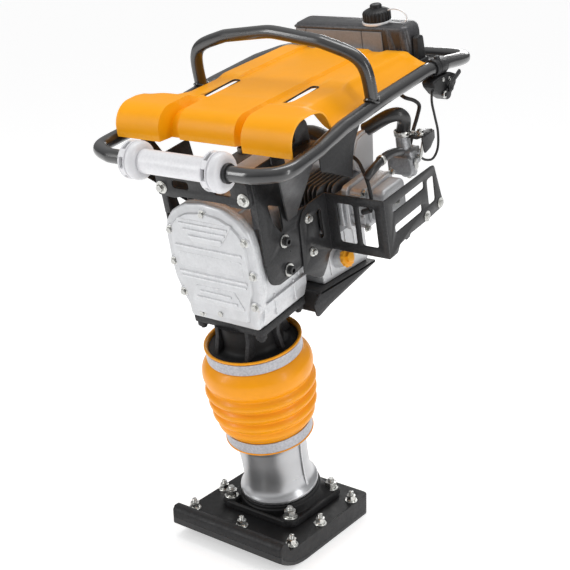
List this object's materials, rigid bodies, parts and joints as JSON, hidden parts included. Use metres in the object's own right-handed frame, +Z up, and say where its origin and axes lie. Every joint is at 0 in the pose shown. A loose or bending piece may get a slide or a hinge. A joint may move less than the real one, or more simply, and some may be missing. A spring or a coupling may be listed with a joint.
{
  "type": "jumping jack rammer",
  "caption": "Upright petrol tamping rammer: a flat steel-shod foot on a sprung leg with rubber bellows, gear case, engine, tank and looped handle with a transport roller.",
  "frame": {"origin": "centre of the width of the shoe's flat ground face, where the leg axis meets the shoe's top carried straight down", "axes": "+Z up, -Y to the front (roller end, the way the leg leans), +X to the machine's right-hand side seen from the roller end, which is the side of the throttle and carburettor"},
  "size_m": [0.4909, 0.7391, 1.0674],
  "materials": {
    "polished_aluminium": "polished",
    "steel": "satin",
    "orange_rubber": "satin",
    "band_steel": "satin",
    "black_casting": "matte",
    "cast_aluminium": "satin",
    "black_rubber": "matte",
    "black_plastic": "satin",
    "dark_grey_paint": "satin",
    "zinc_plate": "satin",
    "orange_cover": "gloss",
    "black_paint": "satin",
    "white_plastic": "satin",
    "tank_plastic": "satin",
    "grey_plastic": "satin",
    "shoe_plastic": "satin"
  },
  "bodies": {
    "leg": {"wear_plate": "black_paint", "shoe": "shoe_plastic", "foot_casting": "black_casting", "foot_bolt_front_left": "zinc_plate", "foot_bolt_front_right": "zinc_plate", "foot_bolt_rear_left": "zinc_plate", "foot_bolt_rear_right": "zinc_plate", "leg_sleeve": "polished_aluminium", "spring_cylinder": "steel", "spring_cap": "steel", "spring_lower": "steel", "spring_upper": "steel", "lower_clamp": "band_steel", "bellows": "orange_rubber"},
    "machine": {"piston_and_rod": "steel", "upper_clamp": "band_steel", "guide_cylinder": "black_casting", "gearcase": "cast_aluminium", "gearcase_cover": "cast_aluminium", "engine_block": "cast_aluminium", "cylinder_and_head": "cast_aluminium", "valve_cover": "cast_aluminium", "spark_plug_cap": "black_rubber", "recoil_cover": "black_plastic", "muffler": "dark_grey_paint", "carburettor": "cast_aluminium", "engine_plate": "black_paint", "engine_mount_block": "black_rubber", "intake_hose": "black_rubber", "throttle_cable": "black_rubber", "fuel_hose": "black_rubber"},
    "handle": {"side_plate_right": "black_paint", "side_plate_left": "black_paint", "cross_plate": "black_paint", "frame_mount_upper_right": "black_rubber", "frame_mount_lower_right": "black_rubber", "frame_mount_upper_left": "black_rubber", "frame_mount_lower_left": "black_rubber", "handle_loop": "black_paint", "lifting_hoop": "black_paint", "gusset_right": "dark_grey_paint", "gusset_left": "dark_grey_paint", "top_cover": "orange_cover", "fuel_tank": "tank_plastic", "air_filter": "grey_plastic", "side_shield": "black_paint", "engine_guard": "black_paint", "throttle_housing": "black_plastic"},
    "roller": {"roller_tube": "white_plastic", "roller_wheel_right": "white_plastic", "roller_wheel_left": "white_plastic"},
    "crank_gear": {"crank_gear": "steel"},
    "clutch_drum": {"clutch_drum": "steel"},
    "crankshaft": {"crankshaft_and_clutch": "steel"},
    "recoil_grip": {"recoil_handle": "black_rubber"},
    "choke": {"choke_lever": "zinc_plate"},
    "oil_cap": {"oil_filler_cap": "orange_cover"},
    "throttle": {"throttle_lever": "zinc_plate"},
    "tank_cap": {"fuel_cap": "black_plastic"}
  },
  "joints": [
    {"name": "leg_stroke", "type": "slide", "parent": "leg", "child": "machine", "axis": [0, -0.2079, 0.9781], "range_m": [-0.03, 0.03], "stiffness_N_per_m": 50000, "springref_m": 0.0124, "deforming": ["bellows", "spring_lower", "spring_upper"]},
    {"name": "handle_flex", "type": "hinge", "parent": "machine", "child": "handle", "pos_m": [0, -0.11712, 0.64099], "axis": [1, 0, 0], "range_deg": [-1, 1], "stiffness_Nm_per_rad": 4000, "springref_deg": 0.43, "deforming": ["throttle_cable", "fuel_hose", "intake_hose"]},
    {"name": "roller_spin", "type": "hinge", "parent": "handle", "child": "roller", "pos_m": [0, -0.27696, 0.82784], "axis": [1, 0, 0], "continuous": true},
    {"name": "crank_spin", "type": "hinge", "parent": "machine", "child": "crank_gear", "pos_m": [0, -0.09115, 0.59335], "axis": [0, 0.9781, 0.2079], "continuous": true},
    {"name": "drum_spin", "type": "hinge", "parent": "machine", "child": "clutch_drum", "pos_m": [-0.03, -0.10892, 0.67698], "axis": [0, 0.9781, 0.2079], "continuous": true},
    {"name": "engine_spin", "type": "hinge", "parent": "machine", "child": "crankshaft", "pos_m": [-0.03, 0.01335, 0.70297], "axis": [0, 0.9781, 0.2079], "continuous": true},
    {"name": "recoil_pull", "type": "slide", "parent": "machine", "child": "recoil_grip", "axis": [0, 0.9781, 0.2079], "range_m": [0, 0.5], "stiffness_N_per_m": 20, "springref_m": -0.15},
    {"name": "choke_turn", "type": "hinge", "parent": "machine", "child": "choke", "pos_m": [0.214, 0.19077, 0.78209], "axis": [1, 0, 0], "range_deg": [0, 75]},
    {"name": "oil_cap_turn", "type": "hinge", "parent": "machine", "child": "oil_cap", "pos_m": [0.1246, 0.06375, 0.5909], "axis": [0.951, -0.0643, 0.3023], "range_deg": [0, 180]},
    {"name": "throttle_turn", "type": "hinge", "parent": "handle", "child": "throttle", "pos_m": [0.226, 0.28303, 0.90597], "axis": [1, 0, 0], "range_deg": [-25, 30]},
    {"name": "fuel_cap_turn", "type": "hinge", "parent": "handle", "child": "tank_cap", "pos_m": [0.062, 0.2764, 1.03338], "axis": [0, -0.2079, 0.9781], "range_deg": [0, 180]}
  ],
  "couplings": [
    {"joint": "drum_spin", "follows": "crank_spin", "ratio": -3}
  ]
}
